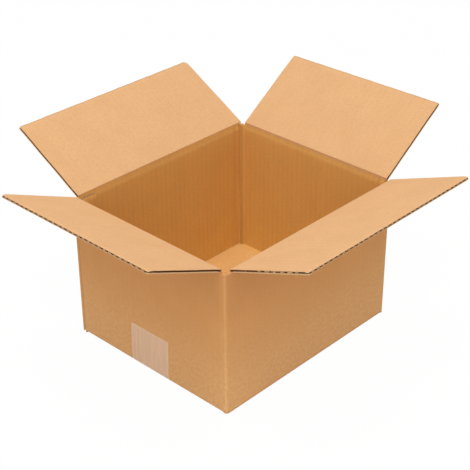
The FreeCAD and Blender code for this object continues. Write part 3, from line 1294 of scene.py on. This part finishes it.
    def core(self, mesh: SheetMesh, depth: float) -> None:
        """Add the glued-up middle of the board, set back from the cut sides; its dark surfaces paint the
        shade inside the flutes.

        Args:
            mesh: Piece to add to.
            depth: Depth of the flap.
        """
        board, wall, wear = self.board, self.wall, self.wear
        rows = np.concatenate([np.array([0.1, 0.25, 0.4, 0.6, 1.2, 2.4]) * MM,
                               np.arange(5.0 * MM, depth - self.flute_depth, 1.0 * MM),
                               [depth - self.flute_depth]])
        torn_before = wear.open_before * (1.0 + wear.ragged * wander(rows, 3.0 + wear.seed, 13.0 * MM))
        torn_after = wear.open_after * (1.0 + wear.ragged * wander(rows, 5.0 + wear.seed, 11.0 * MM))
        low = wall.low + np.maximum(torn_before, 0.02 * MM)
        high = wall.high - np.maximum(torn_after, 0.02 * MM)
        share = np.linspace(0.0, 1.0, 13)
        columns = low[:, None] + share[None, :] * (high - low)[:, None]
        full = self.thickness(rows[:, None], columns)
        skin = board.liner - 0.02 * MM
        self.sheet(mesh, columns, rows, (skin, full - skin), (Surface.FLUTE_SHADE, Surface.FLUTE_SHADE, Surface.FLUTE_SHADE))
        if wear.torn:
            ragged = np.clip(0.5 + 1.1 * wander(rows, 1.0 + wear.seed, 9.0 * MM), 0.0, 1.0)
            edge = wall.low + 1.6 * MM - 1.5 * MM * ragged * smooth(rows / (60.0 * MM))
            columns = edge[:, None] + share[None, :] * (wall.high - 2.0 * MM - edge)[:, None]
            self.sheet(mesh, columns, rows, (skin + 0.5 * MM, full - skin - 0.3 * MM),
                       (Surface.FLUTE_SHADE, Surface.FLUTE_SHADE, Surface.PULP))

    def flutes(self, mesh: SheetMesh, depth: float) -> None:
        """Add the wavy medium that shows in the cut edge, pressed against the outer liner by the knife,
        painted dark as the shade inside the flutes.

        Args:
            mesh: Piece to add to.
            depth: Depth of the flap.
        """
        board, wall = self.board, self.wall
        count = round((wall.high - wall.low) / board.pitch * 12)
        columns = np.linspace(wall.low + self.wear.open_before, wall.high - self.wear.open_after, count + 1)
        across = wall.middle_across + columns
        uneven = 1.0 + 0.06 * wander(across, self.wear.seed, 47.0 * MM)
        crests = (np.cos(2.0 * math.pi * across / board.pitch) + 0.12) * 1.25 * uneven
        wave = np.clip(crests, -1.0, 0.80)[None, :]
        near_cut = np.array([6.0, 4.0, 3.0, 2.0, 1.0, 0.20]) * MM
        rows = depth - np.concatenate([[self.flute_depth + 0.4 * MM], near_cut])
        half = self.thickness(rows[:, None], columns[None, :]) / 2.0
        middle = half - (half - board.liner - board.medium / 2.0) * wave
        edges = (Surface.FLUTE_SHADE, Surface.FLUTE_SHADE, Surface.PULP)
        self.sheet(mesh, columns, rows, (middle - board.medium / 2.0, middle + board.medium / 2.0), edges)
        self.sheet(mesh, columns, rows - self.set_back, (board.liner - 0.02 * MM, middle), edges)


@dataclass
class SeamTape:
    """Strip of film over the bottom seam, turned up on both short walls."""

    sizes: BoxSizes
    body: FoldedBody
    width: float = 50.0 * MM
    thickness: float = 0.06 * MM
    stand_off: float = 0.03 * MM
    rise: float = 46.0 * MM
    offset: float = 0.6 * MM
    lean: float = -0.9 * MM
    teeth: float = 0.22 * MM
    off_floor: float = 0.005 * MM

    def path(self) -> np.ndarray:
        """Half of the strip in side view, from its cut end to the middle of the floor.

        Returns:
            Points as X and Z.
        """
        radius = self.body.fold_radius
        foot = self.body.foot(self.body.walls[Side.LEFT])
        wall_x = -self.sizes.half_length
        centre = np.array([wall_x + radius, foot + radius])
        edge = np.array([wall_x + 5.0 * MM, self.sizes.base])
        reach = edge - centre
        heading = math.atan2(reach[1], reach[0]) % (2.0 * math.pi)
        final = heading - math.acos(radius / float(np.hypot(*reach)))
        heights = np.linspace(self.rise, centre[1], 19)
        upright = np.stack([np.full_like(heights, wall_x), heights], axis=-1)
        angle = np.linspace(math.pi, final, 8)[1:]
        bend = centre + radius * np.stack([np.cos(angle), np.sin(angle)], axis=-1)
        share = np.linspace(0.0, 1.0, 5)[1:, None]
        slope = bend[-1] + share * (edge - bend[-1])
        run = np.linspace(edge[0], 0.0, 24)[1:]
        under = np.stack([run, np.full_like(run, self.sizes.base)], axis=-1)
        return np.concatenate([upright, bend, slope, under])

    def build(self, paint: "Paint") -> bpy.types.Object:
        """Build the strip, dress it and let it stand for its node.

        Args:
            paint: Finishes.

        Returns:
            The piece.
        """
        half = self.path()
        line = np.concatenate([half, (half * np.array([-1.0, 1.0]))[-2::-1]])
        step = np.gradient(line, axis=0)
        outward = np.stack([step[:, 1], -step[:, 0]], axis=-1)
        outward = -outward / np.linalg.norm(outward, axis=1)[:, None]
        if outward[0, 0] > 0:
            outward = -outward
        length = np.concatenate([[0.0], np.cumsum(np.linalg.norm(np.diff(line, axis=0), axis=1))])
        low, high = self.offset - self.width / 2.0, self.offset + self.width / 2.0
        columns = np.linspace(low, high, 65)
        rise = np.sin(np.clip(math.pi * line[:, 1] / self.sizes.short_crease, 0.0, math.pi))
        on_wall = smooth((line[:, 1] - 6.0 * MM) / (4.0 * MM))
        edge = smooth((self.sizes.half_width - np.abs(columns)) / self.body.side_fade)
        belly = self.body.belly * rise[:, None] * edge[None, :] * on_wall[:, None]
        pucker = 0.03 * MM * (1.0 + wander(columns[None, :] + 0.2 * length[:, None], 1.3, 9.0 * MM))
        mesh = SheetMesh("seam_tape")
        cut = self.teeth * (np.arange(len(columns)) % 2 - 0.5)
        grids = []
        for lift in (0.0, self.thickness):
            away = self.stand_off + lift + pucker + belly
            places = np.empty((len(line), len(columns), 3))
            places[..., 0] = line[:, :1] + outward[:, :1] * away
            shift = self.lean * (2.0 * line[:, 1] / self.rise - 1.0) * on_wall
            sway = 0.05 * MM * wander(length, 0.4, 37.0 * MM)
            places[..., 1] = columns[None, :] + (shift + sway)[:, None]
            places[..., 2] = line[:, 1:] + outward[:, 1:] * away
            places[0, :, 2] += cut
            places[-1, :, 2] += cut
            places[..., 2] = np.maximum(places[..., 2], self.off_floor)
            blank = np.empty_like(places)
            blank[..., 0] = columns[None, :]
            blank[..., 1] = length[:, None]
            blank[..., 2] = lift
            rim = smooth(1.0 - np.minimum(columns - low, high - columns) / (2.2 * MM))
            ends = smooth(1.0 - np.minimum(length, length[-1] - length) / (2.0 * MM))
            grids.append(mesh.add(places, blank, np.maximum(rim[None, :], ends[:, None])))
        mesh.slab(grids[1], grids[0], (Surface.OUTER, Surface.OUTER, Surface.OUTER))
        piece = mesh.build([paint.tape.material()], sharp=60.0)
        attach(piece, "box")
        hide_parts("bottom_tape")
        return piece


@dataclass(frozen=True)
class Studio:
    """White floor, soft light and the camera."""

    focal: float = 94.29
    azimuth: float = -46.534
    elevation: float = 30.307
    roll: float = -0.258
    distance: float = 1214.432 * MM
    target_side: float = 0.672 * MM
    target_rise: float = 35.678 * MM
    target_height: float = 60.0 * MM
    sky: float = 0.40
    floor_colour: Rgba = (0.86, 0.86, 0.86, 1.0)
    floor_size: float = 14.0
    backdrop_share: float = 0.98
    floor_glow: float = 0.5
    dark_half_length: float = 112.0 * MM
    dark_half_width: float = 96.0 * MM
    lit_height: float = 0.1
    film_width: float = 36.0
    clip_near: float = 0.05
    clip_far: float = 50.0

    def floor(self) -> None:
        """Make the floor, white to the camera with a faint shadow, and dark under the box."""
        half = self.floor_size / 2.0
        mesh = bpy.data.meshes.new("studio_floor")
        count = 13
        line = np.linspace(-half, half, count)
        places = [(x, y, 0.0) for y in line for x in line]
        faces = [(row * count + column, row * count + column + 1, (row + 1) * count + column + 1,
                  (row + 1) * count + column) for row in range(count - 1) for column in range(count - 1)]
        mesh.from_pydata(places, [], faces)
        plane = bpy.data.objects.new("studio_floor", mesh)
        bpy.context.scene.collection.objects.link(plane)
        material, graph, output = new_material("studio white")
        spot = graph.node("ShaderNodeTexCoord").outputs["Object"]
        grain = graph.noise(spot, 40.0)
        colour = graph.mix(grain, self.floor_colour, (0.88, 0.88, 0.88, 1.0))
        lit = graph.node("ShaderNodeBsdfDiffuse", {"Color": colour})
        glow = graph.node("ShaderNodeEmission", {"Color": (1.0, 1.0, 1.0, 1.0), "Strength": 1.0})
        shown = graph.math("MULTIPLY", graph.seen(), self.backdrop_share)
        share = graph.math("MAXIMUM", shown, self.floor_glow)
        place = graph.node("ShaderNodeSeparateXYZ", {0: spot}).outputs
        past_end = graph.math("GREATER_THAN", graph.math("ABSOLUTE", place[0]), self.dark_half_length)
        past_side = graph.math("GREATER_THAN", graph.math("ABSOLUTE", place[1]), self.dark_half_width)
        share = graph.math("MULTIPLY", share, graph.math("MAXIMUM", past_end, past_side))
        both = graph.node("ShaderNodeMixShader", {0: share, 1: lit.outputs[0], 2: glow.outputs[0]})
        graph.tree.links.new(both.outputs[0], output.inputs["Surface"])
        mesh.materials.append(material)
        plane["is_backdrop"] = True

    def world(self) -> None:
        """Make the sky: plain soft light, white where it is seen."""
        sky = bpy.data.worlds.new("studio sky")
        bpy.context.scene.world = sky
        sky.use_nodes = True
        sky.node_tree.nodes.clear()
        graph = Graph(sky.node_tree)
        dim = graph.node("ShaderNodeBackground", {"Color": (1.0, 1.0, 1.0, 1.0), "Strength": self.sky})
        white = graph.node("ShaderNodeBackground", {"Color": (1.0, 1.0, 1.0, 1.0), "Strength": 1.0})
        both = graph.node("ShaderNodeMixShader", {0: graph.seen(), 1: dim.outputs[0], 2: white.outputs[0]})
        output = graph.node("ShaderNodeOutputWorld")
        graph.tree.links.new(both.outputs[0], output.inputs["Surface"])

    def lamp(self, name: str, place: tuple[float, float, float], size: float, power: float) -> None:
        """Add a soft square lamp that points at the box.

        Args:
            name: Name of the lamp.
            place: Where it stands, in metres.
            size: Length of its side.
            power: Power in watts.
        """
        light = bpy.data.lights.new(name, "AREA")
        light.shape = "SQUARE"
        light.size = size
        light.energy = power
        lamp = bpy.data.objects.new(name, light)
        bpy.context.scene.collection.objects.link(lamp)
        lamp.location = place
        heading = Vector((0.0, 0.0, self.lit_height)) - Vector(place)
        lamp.rotation_euler = heading.to_track_quat("-Z", "Y").to_euler()

    def camera(self) -> None:
        """Add the camera at the photograph's angle."""
        turn, rise, roll = (math.radians(angle) for angle in (self.azimuth, self.elevation, self.roll))
        back = Vector((math.sin(turn) * math.cos(rise), -math.cos(turn) * math.cos(rise), math.sin(rise)))
        right = Vector((math.cos(turn), math.sin(turn), 0.0))
        up = back.cross(right)
        target = right * self.target_side + up * self.target_rise + Vector((0.0, 0.0, self.target_height))
        place = target + back * self.distance
        level = right * math.cos(roll) + up * math.sin(roll)
        upright = up * math.cos(roll) - right * math.sin(roll)
        lens = bpy.data.cameras.new("camera")
        lens.lens = self.focal
        lens.sensor_width = self.film_width
        lens.clip_start = self.clip_near
        lens.clip_end = self.clip_far
        camera = bpy.data.objects.new("camera", lens)
        bpy.context.scene.collection.objects.link(camera)
        turned = Matrix((level, upright, back)).transposed().to_4x4()
        camera.matrix_world = Matrix.Translation(place) @ turned
        bpy.context.scene.camera = camera

    def build(self) -> None:
        """Build the studio."""
        bpy.context.scene.view_settings.view_transform = "Standard"
        self.floor()
        self.world()
        self.lamp("top_lamp", (-0.40, -0.15, 2.3), 0.9, 29.0)
        self.lamp("high_front_lamp", (-1.4, -1.3, 2.1), 1.4, 13.0)
        self.lamp("back_lamp", (1.5, 1.4, 1.6), 1.4, 9.0)
        self.lamp("low_front_lamp", (-1.7, -1.6, 0.6), 1.6, 6.0)
        self.camera()


def main() -> None:
    """Build the box piece by piece, dress it and set up the studio."""
    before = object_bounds()
    board = Board()
    paint = Paint(board)
    paint.mix()
    sizes = BoxSizes.from_frame()
    walls = {
        Side.LEFT: Wall(Side.LEFT, sizes, slot_before=4.9 * MM, slot_after=6.1 * MM,
                        reach_out=81.8 * MM, reach_up=188.4 * MM),
        Side.FRONT: Wall(Side.FRONT, sizes, slot_before=7.2 * MM, slot_after=0.2 * MM,
                         reach_out=84.4 * MM, reach_up=185.2 * MM),
        Side.RIGHT: Wall(Side.RIGHT, sizes, slot_before=4.6 * MM, slot_after=7.4 * MM,
                         reach_out=76.8 * MM, reach_up=205.0 * MM),
        Side.BACK: Wall(Side.BACK, sizes, slot_before=2.2 * MM, slot_after=5.1 * MM,
                        reach_out=80.4 * MM, reach_up=196.8 * MM),
    }
    nodes = {
        Side.LEFT: ("short_flap_left", EdgeWear(open_after=1.9 * MM, ragged=0.1, seed=0.7)),
        Side.FRONT: ("long_flap_front", EdgeWear(open_before=1.2 * MM, ragged=0.3, torn=True, seed=2.1)),
        Side.RIGHT: ("short_flap_right", EdgeWear(darkening=0.35, skew=-0.8 * MM, seed=3.4)),
        Side.BACK: ("long_flap_back", EdgeWear(round_before=4.0 * MM, darkening=0.35, seed=5.2)),
    }
    body = FoldedBody(sizes, board, walls)
    body.build(paint)
    for side, (node, wear) in nodes.items():
        TopFlap(walls[side], board, node, wear).build(paint)
    SeamTape(sizes, body).build(paint)
    Studio().build()
    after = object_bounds()
    for label, corners in (("frame", before), ("visual", after)):
        log.info("%s from %s to %s", label, [round(part, 4) for part in corners[0]],
                 [round(part, 4) for part in corners[1]])


if __name__ == "__main__":
    logging.basicConfig(level=logging.INFO, format="%(message)s")
    main()
